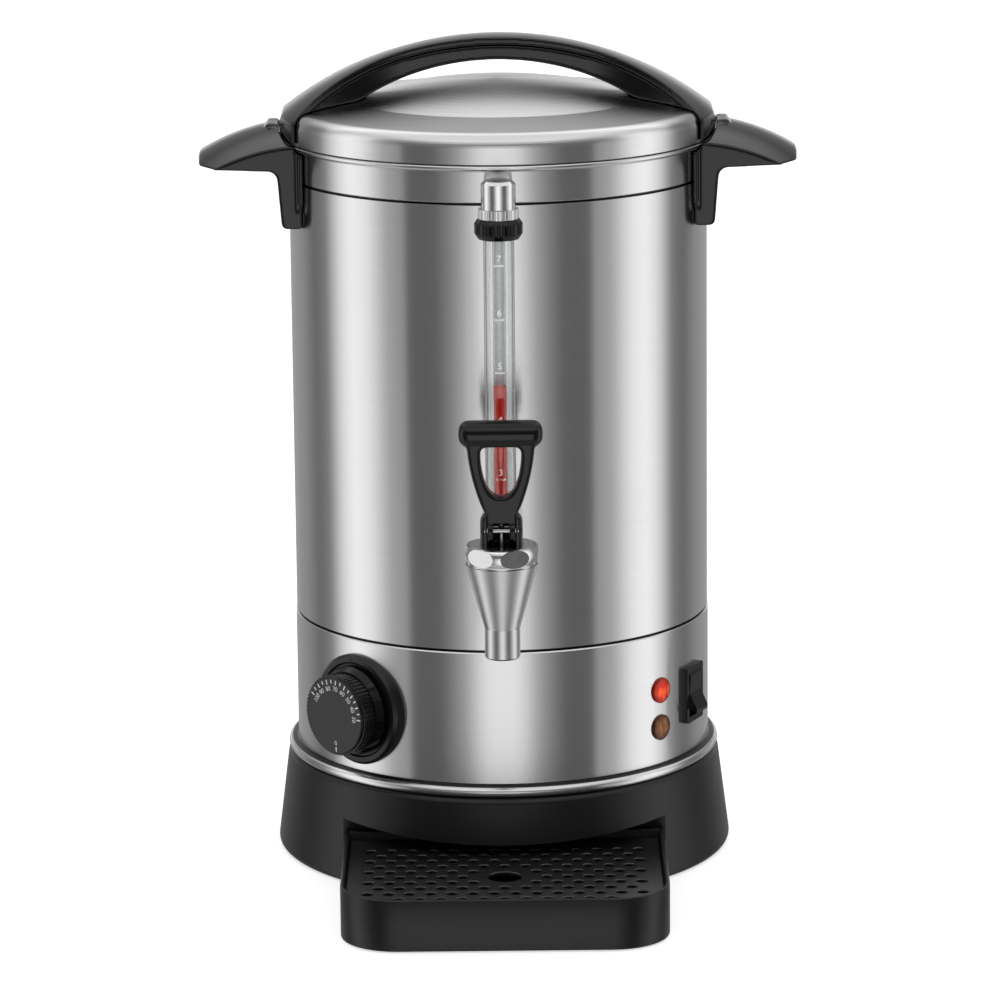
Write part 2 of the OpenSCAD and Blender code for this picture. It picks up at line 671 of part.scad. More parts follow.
// Shank with its flange and the socket of the gauge
flange_d = 32;
flange_t = 3;
flange_face = gauge_y - socket_d / 2 - slide_gap;
spout_back = gauge_y + socket_d / 2 + slide_gap;
socket_top = shank_z + 31;
socket_depth = 6;
glass_foot = socket_top - socket_depth - 7;
washer_d = 31;
washer_t = 2.5;
shank_in = tank_in - 16;
shank_nut_h = 8;
module on_gauge() translate([0, -gauge_y, 0]) children();
module tap_shank() color("#b9b8b5") difference() {
  union() {
    on_shank() translate([0, 0, shank_in])
      cylinder(d = shank_d, h = shank_tip - shank_in - seat_gap);
    on_shank() translate([0, 0, flange_face]) cylinder(d = flange_d, h = flange_t);
    on_gauge() translate([0, 0, shank_z]) cylinder(d = socket_d, h = socket_top - shank_z);
  }
  on_shank() cylinder(d = shank_bore, h = big);
  on_gauge() {
    translate([0, 0, shank_z]) cylinder(d = glass_d - 2 * tube_t, h = big);
    translate([0, 0, glass_foot]) cylinder(d = glass_d + 2 * fix_gap, h = big);
    translate([0, 0, socket_top - socket_depth]) cylinder(d = shield_d + 2 * fix_gap, h = big);
  }
}
// A round washer on the shank, between two radii from the container's axis
module fitted_washer(d, r_from, r_to) difference() {
  on_shank() translate([0, 0, r_from - 4]) cylinder(d = d, h = r_to - r_from + 4);
  cylinder(r = r_from, h = 2 * rim_z, center = true, $fn = 180);
  on_shank() cylinder(d = shank_hole, h = big);
}
module shank_washer() color("#3b3b3b") fitted_washer(washer_d, body_r, flange_face);
module shank_spacer() color("#d8d4cc") intersection() {
  fitted_washer(washer_d, tank_out, wall_in + 4);
  cylinder(r = wall_in, h = 2 * rim_z, center = true, $fn = 180);
}
washer_face = sqrt(pow(tank_in, 2) - pow(washer_d / 2, 2)) - washer_t;
module tank_washer() color("#d8d4cc") difference() {
  intersection() {
    on_shank() translate([0, 0, washer_face]) cylinder(d = washer_d, h = tank_in);
    cylinder(r = tank_in, h = 2 * rim_z, center = true, $fn = 180);
  }
  on_shank() cylinder(d = shank_hole, h = big);
}
module shank_nut() color("#a8a8a6") on_shank() difference() {
  translate([0, 0, washer_face - shank_nut_h]) cylinder(d = shank_d + 12, h = shank_nut_h, $fn = 6);
  cylinder(d = shank_hole, h = big);
}

// Nut with six oval flats on a rounded edge
nut_flat = nut_d / 2 - 1.7;
nut_edge_r = 7.6;
module bonnet_nut() color("#d6d6d6") on_tap() difference() {
  intersection() {
    rotate_extrude() polygon(concat(
      [[bonnet_d / 2 + fix_gap, nut_z + seat_gap], [cone_d / 2, nut_z + seat_gap]],
      arc([nut_d / 2 - nut_edge_r, nut_z + nut_h * 0.55], nut_edge_r, -42, 34, 12),
      [[nut_d / 2 - 3, nut_top], [bonnet_d / 2 + fix_gap, nut_top]]));
    rotate([0, 0, 22]) translate([0, 0, nut_z])
      cylinder(r = nut_flat / cos(30), h = nut_h, $fn = 6);
  }
  translate([0, 0, nut_z]) cylinder(d = neck_d + 2 * fix_gap, h = flange_top - nut_z + fix_gap);
}
module bonnet() color("#1f1f1f") difference() {
  on_tap() rotate_extrude() polygon(concat(
    [[stem_d / 2 + run_gap, flange_top - bonnet_flange_t], [neck_d / 2, flange_top - bonnet_flange_t],
     [neck_d / 2, flange_top], [bonnet_d / 2, flange_top]],
    arc([bonnet_d / 2 - 5, cheek_top - 5], 5, 0, 90, 6),
    [[stem_d / 2 + run_gap, cheek_top]]));
  on_tap() translate([-slot_w / 2, slot_back - big, nut_top - 0.5]) cube([slot_w, big, big]);
  translate([0, -pin_y, pin_z]) rotate([0, 90, 0])
    cylinder(d = pin_d + 2 * thin, h = big, center = true, $fn = 48);
}
pin_l = 2 * sqrt(pow(bonnet_d / 2, 2) - pow(pin_offset + pin_d / 2, 2));
module lever_pin() color("#b5b5b3") translate([0, -pin_y, pin_z]) rotate([0, 90, 0])
  cylinder(d = pin_d, h = pin_l, center = true, $fn = 48);

// Lever: a bar on a loop, with a fork that straddles the stem
fork_t = 2.8;
fork_in = slot_w / 2 - slide_gap - fork_t;
fork_eye = 12;
fork_tail = 8;
fork_end = pin_offset + 1.2;
slot_back = fork_end + fork_tail / 2 - pin_offset + slide_gap;
bridge_z = pin_z + 4.6;
bar_round = 5;
cross_d = 2.4;
lever_turn = 40;
stem_lift = pin_offset * tan(lever_turn);
cam_slack = 0.8;
cam_end = 0.6;
neck_z = pin_z + 9.6;
neck_w = 16.4;
bar_z = pin_z + bar_rise;
loop_foot = neck_z + 8.4;

// Outer line of the loop, seen from the front
module loop_outside() {
  h = bar_z - neck_z;
  polygon(concat(
    [for (i = [0:12]) let (u = i / 12)
      [neck_w / 2 + (loop_w - neck_w) / 2 * sin(90 * pow(u, 0.9)), neck_z + h * u]],
    [for (i = [12:-1:0]) let (u = i / 12)
      [-neck_w / 2 - (loop_w - neck_w) / 2 * sin(90 * pow(u, 0.9)), neck_z + h * u]]));
}
// Opening of the loop: round below, nearly straight above
module loop_inside() {
  top = bar_z - bar_d / 2 + 0.6;
  half = loop_w / 2 - arm_w;
  h = top - loop_foot;
  corner = 3.5;
  polygon(concat(
    [for (i = [-10:10]) let (u = abs(i) / 10, a = 90 * u)
      [sign(i) * half * pow(sin(a), 0.8), loop_foot + (h - corner) * (1 - cos(a))]],
    arc([half - corner, top - corner], corner, 0, 90, 5),
    arc([corner - half, top - corner], corner, 90, 180, 5)));
}
module tap_lever() color("#1d1d1d") difference() {
  union() {
    translate([0, -pin_y + lever_t / 2, 0]) rotate([90, 0, 0]) linear_extrude(lever_t) difference() {
      loop_outside();
      loop_inside();
    }
    translate([0, -pin_y, bar_z]) rotate([0, 90, 0]) rotate_extrude($fn = 64) polygon(concat(
      arc([bar_d / 2 - bar_round, bar_l / 2 - bar_round], bar_round, 0, 90, 6),
      [[0, bar_l / 2], [0, -bar_l / 2]],
      arc([bar_d / 2 - bar_round, bar_round - bar_l / 2], bar_round, -90, 0, 6)));
    for (x = [-1, 1]) translate([x * (fork_in + fork_t / 2), -pin_y, 0]) rotate([90, 0, 90])
      linear_extrude(fork_t, center = true) {
        translate([-lever_t / 2, pin_z]) square([lever_t, neck_z - pin_z + 1]);
        translate([0, pin_z]) circle(d = fork_eye);
        translate([0, pin_z - fork_tail / 2]) square([fork_end, fork_tail]);
        translate([fork_end, pin_z]) circle(d = fork_tail);
      }
    translate([-fork_in - fork_t / 2, -pin_y - lever_t / 2, bridge_z])
      cube([2 * fork_in + fork_t, lever_t, neck_z + 1 - bridge_z]);
  }
  translate([0, -pin_y, pin_z]) rotate([0, 90, 0])
    cylinder(d = pin_d + 2 * run_gap, h = big, center = true, $fn = 48);
  translate([0, -tap_reach, head_z]) rotate([0, 90, 0]) linear_extrude(big, center = true)
    translate([-cross_d / 2 - cam_slack / 2, -cam_end - cross_d / 2])
      square([cross_d + cam_slack, pin_offset * (1 / cos(lever_turn) - 1) + 2 * cam_end + cross_d]);
}

// Valve: stem with a cross pin, seat cup and spring
cup_h = 6;
cup_d = spout_bore + 2.8;
collar_t = 1.5;
cup_z = seat_z + fix_gap;
spring_foot = cup_z + cup_h + collar_t;
spring_top = flange_top - bonnet_flange_t;
spring_r = stem_d / 2 + 3.4;
module valve_stem() color("#c2c2c0") on_tap() {
  translate([0, 0, cup_z]) cylinder(d = stem_d, h = head_z - cup_z + cross_d);
  translate([0, 0, cup_z + cup_h]) cylinder(d = cup_d - 2, h = collar_t);
  translate([0, 0, head_z]) rotate([0, 90, 0])
    cylinder(d = cross_d, h = 2 * (fork_in + fork_t), center = true, $fn = 48);
}
module seat_cup() color("#cfc9bd") on_tap() rotate_extrude() polygon([
  [stem_d / 2 + thin, cup_z], [cup_d / 2, cup_z], [cup_d / 2, cup_z + cup_h * 0.4],
  [cup_d / 2 - 2, cup_z + cup_h], [stem_d / 2 + thin, cup_z + cup_h]]);

// Spring wire as one tube along a helix
coil_steps = 8;
coil_sides = 6;
spring_pitch = (spring_top - spring_foot - spring_wire - 2 * fix_gap) / spring_turns;
coil_count = spring_turns * coil_steps;
// Point of the wire at step i of the helix, out from the helix by out and up by rise
function coil_point(i, out, rise) = let (a = 360 * i / coil_steps, r = spring_r + out)
  [r * cos(a), r * sin(a),
   spring_foot + fix_gap + spring_wire / 2 + spring_pitch * i / coil_steps + rise];
coil_path = [for (i = [0:coil_count]) coil_point(i, 0, 0)];
coil_gap = min([for (i = [0:coil_count], j = [0:coil_count]) if (j - i > coil_steps / 2)
  norm(coil_path[i] - coil_path[j])]) - spring_wire;
echo(least_gap_between_spring_coils = coil_gap);
module valve_spring() color("#cfcfcd") on_tap() {
  ring_points = [for (i = [0:coil_count], j = [0:coil_sides - 1]) let (b = 360 * j / coil_sides)
    coil_point(i, spring_wire / 2 * cos(b), spring_wire / 2 * sin(b))];
  start = [for (j = [1:coil_sides - 2]) [0, j + 1, j]];
  last = coil_count * coil_sides;
  end = [for (j = [1:coil_sides - 2]) [last, last + j, last + j + 1]];
  sides = [for (i = [0:coil_count - 1], j = [0:coil_sides - 1])
    let (k = (j + 1) % coil_sides, a = i * coil_sides, b = a + coil_sides)
    for (f = [[a + j, a + k, b + k], [a + j, b + k, b + j]]) f];
  polyhedron(ring_points, concat(start, end, sides));
}

// Level gauge
neck_r = cap_d / 2 - 1.4;
neck_h = 7;
seal_h = 2;
skirt_h = 5;
arm_t = 11;
holder_top = holder_z + holder_h;
shield_top = holder_z + 7;
cap_z = holder_top + seat_gap;
cap_roof = holder_top + neck_h + seal_h;
glass_top = holder_top + neck_h - 0.5;
// A knurled disc: flutes round a circle
module knurled(d, h, flutes, depth) linear_extrude(h) difference() {
  circle(d = d);
  for (i = [0:flutes - 1]) rotate(360 * i / flutes) translate([d / 2 + depth * 0.2, 0])
    circle(r = depth, $fn = 16);
}
module gauge_holder() color("#1d1d1d") difference() {
  union() {
    on_gauge() translate([0, 0, holder_z]) intersection() {
      knurled(holder_d, holder_h, 28, 0.9);
      rotate_extrude() polygon([
        [0, 0], [holder_d / 2 - 2, 0], [holder_d / 2, 3], [holder_d / 2, holder_h - 2.4],
        [holder_d / 2 - 1.6, holder_h], [0, holder_h]]);
    }
    on_gauge() translate([0, 0, holder_top - 1]) cylinder(r = neck_r, h = neck_h + 1);
    on_wall(0, holder_screw_z) translate([0, 0, body_r - 4]) linear_extrude(gauge_out + 4)
      square([arm_t, holder_h - 2], center = true);
  }
  cylinder(r = body_r + thin, h = big, $fn = 180);
  on_gauge() translate([0, 0, holder_z - 1])
    cylinder(d = shield_d + 2 * fix_gap, h = shield_top - holder_z + 1);
  on_gauge() translate([0, 0, holder_z]) cylinder(d = glass_d + 2 * fix_gap, h = big);
  on_wall(0, holder_screw_z) cylinder(d = screw_hole, h = body_r + 4);
}
module gauge_screw() color("#9a9a98") on_wall(0, holder_screw_z) translate([0, 0, screw_seat])
  screw(screw_d, sheet_t + 3.6, screw_head, screw_head_h);
module tube(d, t, z0, z1) on_gauge() translate([0, 0, z0]) linear_extrude(z1 - z0) difference() {
  circle(d = d);
  circle(d = d - 2 * t);
}
module gauge_shield() color("#dfe8ea", 0.5)
  tube(shield_d, tube_t, socket_top - socket_depth, shield_top);
module gauge_glass() color("#e4eef0", 0.5) tube(glass_d, tube_t, glass_foot, glass_top);
crown_h = cap_h - skirt_h;
module gauge_cap() color("#cfcfcf") on_gauge() difference() {
  union() {
    translate([0, 0, cap_z]) knurled(skirt_d, skirt_h, 36, 0.6);
    translate([0, 0, cap_z + skirt_h - thin]) rotate_extrude() polygon([
      [0, 0], [cap_d / 2, 0], [cap_d / 2, crown_h - 1.6], [cap_d / 2 - 1.6, crown_h], [0, crown_h]]);
  }
  translate([0, 0, cap_z - 1]) cylinder(r = neck_r + slide_gap, h = cap_roof - cap_z + 1);
}
module gauge_seal() color("#d8d4cc") on_gauge()
  translate([0, 0, holder_top + neck_h + seat_gap]) cylinder(r = neck_r, h = seal_h - 2 * seat_gap);

// Thermostat, knob and bezel
shaft_tail = 34;
shaft_in = knob_base - shaft_tail;
knob_roof = 5;
thermostat_w = 38;
thermostat_h = 32;
thermostat_back = shaft_in - 4;
thermostat_gap = 7;
bulb_d = 6;
bulb_l = 60;
bulb_inset = 24;
module knob_bezel() color("#202020") difference() {
  on_wall(knob_az, knob_z) rotate_extrude() polygon([
    [bushing_d / 2 + fix_gap, body_r - 12], [bezel_d / 2, body_r - 12],
    [bezel_d / 2, bezel_face - 1.6], [bezel_d / 2 - 1.6, bezel_face],
    [bezel_d / 2 - 4, bezel_face], [bezel_d / 2 - 5, bezel_face - 1],
    [bushing_d / 2 + fix_gap, bezel_face - 1]]);
  cylinder(r = band_r + thin, h = wall_z, $fn = 180);
}
knob_waist = knob_base + knob_h * 0.4;
knob_edge = 1.2;
module knob() color("#1b1b1b") on_wall(knob_az, knob_z) difference() {
  union() {
    rotate_extrude() polygon([
      [0, knob_base], [knob_foot_d / 2 - 0.6, knob_base], [knob_foot_d / 2, knob_base + 0.8],
      [knob_foot_d / 2, knob_base + 2], [knob_d / 2 + 1.3, knob_waist], [0, knob_waist]]);
    translate([0, 0, knob_waist]) knurled(knob_d + 1.8, knob_face - knob_edge - knob_waist, 60, 0.6);
    rotate_extrude() polygon(concat(
      [[0, knob_waist], [knob_d / 2, knob_waist]],
      arc([knob_d / 2 - knob_edge, knob_face - knob_edge], knob_edge, 0, 90, 4), [[0, knob_face]]));
  }
  cylinder(d = shaft_d + 2 * thin, h = knob_face - knob_roof);
  cylinder(d = bushing_d + 2, h = knob_base + 3);
}
module thermostat_shaft() color("#b5b5b3") on_wall(knob_az, knob_z) translate([0, 0, shaft_in])
  cylinder(d = shaft_d, h = knob_face - knob_roof - seat_gap - shaft_in);
module thermostat() color("#c9bfae") on_wall(knob_az, knob_z) difference() {
  union() {
    translate([0, 0, thermostat_back]) linear_extrude(band_in - thermostat_gap - thermostat_back)
      polygon(soft_box(thermostat_w, thermostat_h, 3));
    cylinder(d = bushing_d, h = bezel_face - 1.4);
  }
  translate([0, 0, shaft_in - seat_gap]) cylinder(d = shaft_d + 2 * run_gap, h = big);
  translate([0, 0, -1]) cylinder(d = big, h = thermostat_back + 1);
}
module thermostat_bulb() color("#b87a52")
  translate([0, heater_orbit - bulb_inset, heat_z - bulb_d / 2]) rotate([0, 90, 0])
    cylinder(d = bulb_d, h = bulb_l, center = true);

// Lamps
lamp_edge = 1.4;
lamp_out = 3.8;
lamp_root = band_in - 4;
lamp_body_l = 26;
module lamp_lens() {
  rotate_extrude() polygon(concat(
    [[0, band_r - 3], [lamp_d / 2, band_r - 3]],
    arc([lamp_d / 2 - lamp_edge, band_r + 1.6], lamp_edge, 0, 60, 4),
    [[0, band_r + lamp_out]]));
  translate([0, 0, lamp_root]) cylinder(d = lamp_neck, h = 6);
}
module seated_lens(z) difference() {
  on_wall(lamp_az, z) lamp_lens();
  difference() {
    cylinder(r = band_r, h = wall_z, $fn = 180);
    on_wall(lamp_az, z) cylinder(d = lamp_neck, h = big);
  }
}
module lamp_lens_heating() color("#d8281a") seated_lens(lamp_heights[1]);
module lamp_lens_warm() color("#8a4f24") seated_lens(lamp_heights[0]);
module lamp_bodies() color("#e6e2da") for (z = lamp_heights)
  on_wall(lamp_az, z) translate([0, 0, lamp_root - lamp_body_l])
    cylinder(d = lamp_neck, h = lamp_body_l);

// Rocker switch
frame_face = band_r + 2.4;
rocker_w = switch_body_w - 3;
rocker_h = switch_body_h - 3;
rocker_axis = band_r - 2;
rocker_pin = 3;
switch_depth = 24;
module switch_frame() color("#1a1a1a") difference() {
  union() {
    difference() {
      on_wall(switch_az, switch_z) translate([0, 0, band_r - 6])
        linear_extrude(frame_face - band_r + 6) polygon(soft_box(switch_w, switch_h, 1.5));
      cylinder(r = band_r, h = wall_z, $fn = 180);
    }
    on_wall(switch_az, switch_z) translate([0, 0, band_in - switch_depth])
      linear_extrude(frame_face - band_in + switch_depth)
        square([switch_body_w, switch_body_h], center = true);
  }
  on_wall(switch_az, switch_z) {
    translate([0, 0, band_in - 10]) linear_extrude(big)
      square([rocker_w + 2 * slide_gap, rocker_h + 2 * slide_gap], center = true);
    translate([0, 0, rocker_axis]) rotate([0, 90, 0])
      cylinder(d = rocker_pin + 2 * run_gap, h = rocker_w + 2, center = true, $fn = 48);
  }
}
module rocker() color("#161616") on_wall(switch_az, switch_z) translate([0, 0, rocker_axis]) {
  rotate([-rocker_tilt, 0, 0]) rotate([90, 0, 90]) linear_extrude(rocker_w, center = true)
    polygon(concat(
      [[rocker_h / 2 - 0.6, 6.4], [rocker_h / 2 - 2.4, 7], [0, 4.6],
       [2.4 - rocker_h / 2, 7], [0.6 - rocker_h / 2, 6.4]],
      arc([0, 0], 4.4, 200, 340, 8)));
  rotate([0, 90, 0]) cylinder(d = rocker_pin, h = rocker_w + 1.4, center = true, $fn = 48);
}

// Terminal block and cable gland
terminal = [40, 18, 16];
terminal_pitch = 10;
terminal_hole = 5;
module terminal_block() color("#e0dccf")
  translate([-terminal[0] / 2, 40, plate_z + plate_t]) difference() {
    cube(terminal);
    for (i = [0:3], y = [terminal[1] / 4, terminal[1] * 3 / 4])
      translate([(i + 0.5) * terminal_pitch, y, 6])
        cylinder(d = terminal_hole, h = terminal[2], $fn = 24);
  }
cord_hole = 6.4;
module cable_gland() color("#202020") on_wall(180, gland_z) difference() {
  union() {
    translate([0, 0, band_in - 10]) cylinder(d = gland_d, h = 14);
    translate([0, 0, band_in - 7]) cylinder(d = 17, h = 6, $fn = 6);
    translate([0, 0, band_r + seat_gap]) rotate_extrude() polygon([
      [0, 0], [9, 0], [9, 3], [7, 8], [5.4, 9], [0, 9]]);
  }
  cylinder(d = cord_hole, h = big);
}

// Drip tray and grid
tray_z = 0.5;
tray_reach = skirt_foot + tray_out;
tray_back = bay_back + slide_gap;
grid_z = tray_z + tray_h - grid_sink;
grid_ledge = 3;

// Plan of the tray: square at the back, round corners at the front, moved in by t
module tray_plan(t) translate([0, -tray_reach + t]) {
  w = tray_w / 2 - t;
  l = tray_reach - tray_back - 2 * t;
  r = tray_corner - t;
  polygon(concat(
    [[w, l], [-w, l]], arc([r - w, r], r, 180, 270, 10), arc([w - r, r], r, 270, 360, 10)));
}
module drip_tray() color("#242424") difference() {
  translate([0, 0, tray_z]) linear_extrude(tray_h) tray_plan(0);
  translate([0, 0, tray_z + tray_t]) linear_extrude(big) tray_plan(tray_t + grid_ledge);
  translate([0, 0, grid_z - grid_t]) linear_extrude(big) tray_plan(tray_t);
}
module drip_grid() color("#2b2b2b") {
  drain_d = 18;
  margin = tray_t + slide_gap;
  rows = floor((tray_reach - tray_back) / grid_pitch / 2);
  columns = floor(tray_w / grid_pitch / 2);
  reach = tray_w / 2 - margin - grid_hole;
  translate([0, 0, grid_z - grid_t + seat_gap]) linear_extrude(grid_t) difference() {
    tray_plan(margin);
    translate([0, -tap_reach]) circle(d = drain_d);
    for (row = [-rows:rows], column = [-columns:columns]) {
      p = [(column + (row % 2 == 0 ? 0 : 0.5)) * grid_pitch, -tap_reach + row * grid_pitch * 0.866];
      front = -tray_reach + margin + grid_hole;
      back = -tray_back - margin - grid_hole;
      side = abs(p[0]) - (tray_w / 2 - tray_corner);
      turn = front + tray_corner - p[1];
      rounded = side < 0 || turn < 0 || norm([side, turn]) < tray_corner - margin - grid_hole;
      clear = norm(p + [0, tap_reach]) > drain_d / 2 + grid_hole * 0.7;
      if (clear && rounded && abs(p[0]) < reach && p[1] > front && p[1] < back)
        translate(p) circle(d = grid_hole, $fn = 24);
    }
  }
}

base_skirt();
base_plate();
base_feet();
base_screws();
flared_ring();
lower_band();
outer_wall();
collar();
inner_tank();
heat_plate();
heater();
thermal_cutout();
lid_shell();
lid_plug();
lid_seal();
lid_handle();
lid_handle_cover();
lid_screws();
side_handle_left();
side_handle_right();
handle_screws();
tap_spout();
tap_shank();
shank_washer();
shank_spacer();
tank_washer();
shank_nut();
bonnet_nut();
bonnet();
lever_pin();
tap_lever();
valve_stem();
seat_cup();
valve_spring();
gauge_holder();
gauge_screw();
gauge_shield();
gauge_glass();
gauge_cap();
gauge_seal();
knob_bezel();
knob();
thermostat();
thermostat_shaft();
thermostat_bulb();
lamp_lens_heating();
lamp_lens_warm();
lamp_bodies();
switch_frame();
rocker();
terminal_block();
cable_gland();
drip_tray();
drip_grid();
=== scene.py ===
"""Looks of the hot drink dispenser: materials, rounded mouldings, marks, the drink, light and camera."""

import json
import math

import bmesh
import bpy
from mathutils import Matrix, Vector


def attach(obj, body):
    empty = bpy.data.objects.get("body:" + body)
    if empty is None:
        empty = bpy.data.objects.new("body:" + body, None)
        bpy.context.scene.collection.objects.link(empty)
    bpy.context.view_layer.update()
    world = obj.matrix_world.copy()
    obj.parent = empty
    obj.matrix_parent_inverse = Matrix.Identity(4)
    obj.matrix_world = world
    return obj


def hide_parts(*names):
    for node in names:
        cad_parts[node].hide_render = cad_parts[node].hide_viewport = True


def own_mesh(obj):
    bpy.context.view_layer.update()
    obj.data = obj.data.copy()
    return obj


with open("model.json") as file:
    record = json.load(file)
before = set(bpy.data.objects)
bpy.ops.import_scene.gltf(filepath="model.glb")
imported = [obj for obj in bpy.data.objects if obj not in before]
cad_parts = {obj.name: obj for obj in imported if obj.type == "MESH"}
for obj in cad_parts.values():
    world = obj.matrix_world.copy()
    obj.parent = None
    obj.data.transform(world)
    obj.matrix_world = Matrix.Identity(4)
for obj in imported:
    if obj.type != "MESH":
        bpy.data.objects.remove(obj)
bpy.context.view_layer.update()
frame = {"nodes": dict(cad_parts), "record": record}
nodes = frame["nodes"]
scene = bpy.context.scene
scene.view_settings.view_transform = "Standard"

BODY_OF = {node: body for body, names in frame["record"]["behaviour"]["bodies"].items() for node in names}
SLOT_OF = {part["node"]: part["material_slot"] for part in frame["record"]["subparts"]}

# Places and sizes that the marks, the drink and the shown pieces need, in metres, as in the part's source
KNOB_AZIMUTH = math.radians(-43)
KNOB_HEIGHT = 0.095
KNOB_FACE = 0.132
BEZEL_FACE = 0.1161
GAUGE_Y = -0.126
GLASS_RADIUS = 0.0034
GLASS_BORE = 0.0024
DRINK_FOOT = 0.1945
DRINK_TOP = 0.2792
LEVEL_MARKS = {0.3425: "7", 0.3142: "6", 0.2863: "5", 0.258: "4", 0.2299: "3"}
LAMP_AZIMUTH = math.radians(48.5)
LAMP_RADIUS = 0.007
HEATING_LAMP_HEIGHT = 0.1015
WARM_LAMP_HEIGHT = 0.081
BAND_RADIUS = 0.1129
LEVER_NECK = 0.2195
LEVER_ARMS = 0.2255

# Joints between the steel pieces, darkened with painted shade, as (lower height, upper height, radius that
# they stay within)
SHADED_SEAMS = (
    (0.0598, 0.0611, 0.1162),
    (0.1327, 0.1341, 0.12),
    (0.3712, 0.3724, 0.12),
    (0.3919, 0.3929, 0.12),
)
# Colour of the painted shade in the seams
SEAM_SHADE = (0.03, 0.03, 0.03, 1)


# Shader helpers

def new_material(name):
    """A material, its node tree and its Principled shader."""
    material = bpy.data.materials.new(name)
    material.use_nodes = True
    tree = material.node_tree
    tree.nodes.clear()
    output = tree.nodes.new("ShaderNodeOutputMaterial")
    shader = tree.nodes.new("ShaderNodeBsdfPrincipled")
    tree.links.new(shader.outputs["BSDF"], output.inputs["Surface"])
    return material, tree, shader


def add(tree, kind, values=None, links=None, **settings):
    """A new node with its settings, socket values and incoming links."""
    node = tree.nodes.new(kind)
    for key, value in settings.items():
        setattr(node, key, value)
    for key, value in (values or {}).items():
        node.inputs[key].default_value = value
    for key, socket in (links or {}).items():
        tree.links.new(socket, node.inputs[key])
    return node


def math_node(tree, operation, *terms):
    """The result of a math node. A term is a number or a socket."""
    node = tree.nodes.new("ShaderNodeMath")
    node.operation = operation
    for place, term in enumerate(terms):
        if isinstance(term, (int, float)):
            node.inputs[place].default_value = term
        else:
            tree.links.new(term, node.inputs[place])
    return node.outputs["Value"]


def ramp(tree, factor, stops):
    """A colour ramp from (position, grey or colour) stops."""
    node = add(tree, "ShaderNodeValToRGB", links={"Fac": factor})
    elements = node.color_ramp.elements
    while len(elements) < len(stops):
        elements.new(0.5)
    for element, (position, colour) in zip(elements, stops):
        element.position = position
        grey = isinstance(colour, (int, float))
        element.color = (colour, colour, colour, 1) if grey else (*colour, 1)
    return node.outputs["Color"]


def mapped(tree, value, low, high):
    """A 0 to 1 value spread over a range."""
    node = add(tree, "ShaderNodeMapRange", {"To Min": low, "To Max": high}, {"Value": value})
    return node.outputs["Result"]


def share(tree, value, low, high):
    """A value's place between two limits, from 0 to 1."""
    node = add(tree, "ShaderNodeMapRange", {"From Min": low, "From Max": high}, {"Value": value})
    return node.outputs["Result"]


def object_point(tree):
    """The shaded point in the frame of the whole object."""
    return add(tree, "ShaderNodeTexCoord").outputs["Object"]


def noise(tree, point, scale, detail=3.0):
    """A noise value, mostly between 0.3 and 0.7."""
    node = add(tree, "ShaderNodeTexNoise", {"Scale": scale, "Detail": detail}, {"Vector": point})
    return node.outputs["Fac"]


def bump(tree, shader, height, strength, distance):
    """Gives a shader a fine relief."""
    node = add(tree, "ShaderNodeBump", {"Strength": strength, "Distance": distance}, {"Height": height})
    tree.links.new(node.outputs["Normal"], shader.inputs["Normal"])


def round_point(tree):
    """Angle about the container's axis, distance from it and height, as sockets."""
    xyz = add(tree, "ShaderNodeSeparateXYZ", links={"Vector": object_point(tree)})
    x, y, z = (xyz.outputs[name] for name in "XYZ")
    angle = math_node(tree, "ARCTAN2", y, x)
    squares = math_node(tree, "MULTIPLY_ADD", x, x, math_node(tree, "MULTIPLY", y, y))
    return angle, math_node(tree, "SQRT", squares), z


def blended(tree, factor, first, second):
    """Two colours mixed by a factor. The second is a colour or a socket."""
    node = add(tree, "ShaderNodeMix", data_type="RGBA", links={"Factor": factor})
    tree.links.new(first, node.inputs[6])
    if isinstance(second, tuple):
        node.inputs[7].default_value = second
    else:
        tree.links.new(second, node.inputs[7])
    return node.outputs[2]


def between(tree, value, low, high):
    """1 where a value is between two limits, else 0."""
    return math_node(tree, "MULTIPLY", math_node(tree, "GREATER_THAN", value, low),
                     math_node(tree, "LESS_THAN", value, high))


# Materials

def brushed_steel(name, tone, rough, anisotropy, shaded_seams=(), metallic=1.0):
    """Steel with fine lines around the axis, a soft cloudiness and painted shade along its seams."""
    material, tree, shader = new_material(name)
    shader.inputs["Metallic"].default_value = metallic
    shader.inputs["Anisotropic"].default_value = anisotropy
    shader.inputs["Anisotropic Rotation"].default_value = 0.25
    tangent = add(tree, "ShaderNodeTangent", direction_type="RADIAL", axis="Z")
    tree.links.new(tangent.outputs["Tangent"], shader.inputs["Tangent"])
    angle, radius, height = round_point(tree)
    across = math_node(tree, "ADD", radius, height)
    drawn = add(tree, "ShaderNodeCombineXYZ", links={
        "X": math_node(tree, "MULTIPLY", angle, 3.0), "Y": math_node(tree, "MULTIPLY", across, 5200.0)})
    lines = noise(tree, drawn.outputs["Vector"], 1.0, 2.0)
    cloud = noise(tree, object_point(tree), 14.0)
    both = math_node(tree, "MULTIPLY_ADD", cloud, 0.3, math_node(tree, "MULTIPLY", lines, 0.7))
    colour = ramp(tree, both, [(0.3, tone - 0.03), (0.7, tone + 0.03)])
    # Each seam is darkened with painted shade
    for low, high, within in shaded_seams:
        in_shaded_seam = math_node(tree, "MULTIPLY", between(tree, height, low, high),
                           math_node(tree, "LESS_THAN", radius, within))
        colour = blended(tree, in_shaded_seam, colour, SEAM_SHADE)
    tree.links.new(colour, shader.inputs["Base Color"])
    tree.links.new(mapped(tree, both, rough * 0.88, rough * 1.12), shader.inputs["Roughness"])
    bump(tree, shader, lines, 0.03, 0.0001)
    return material


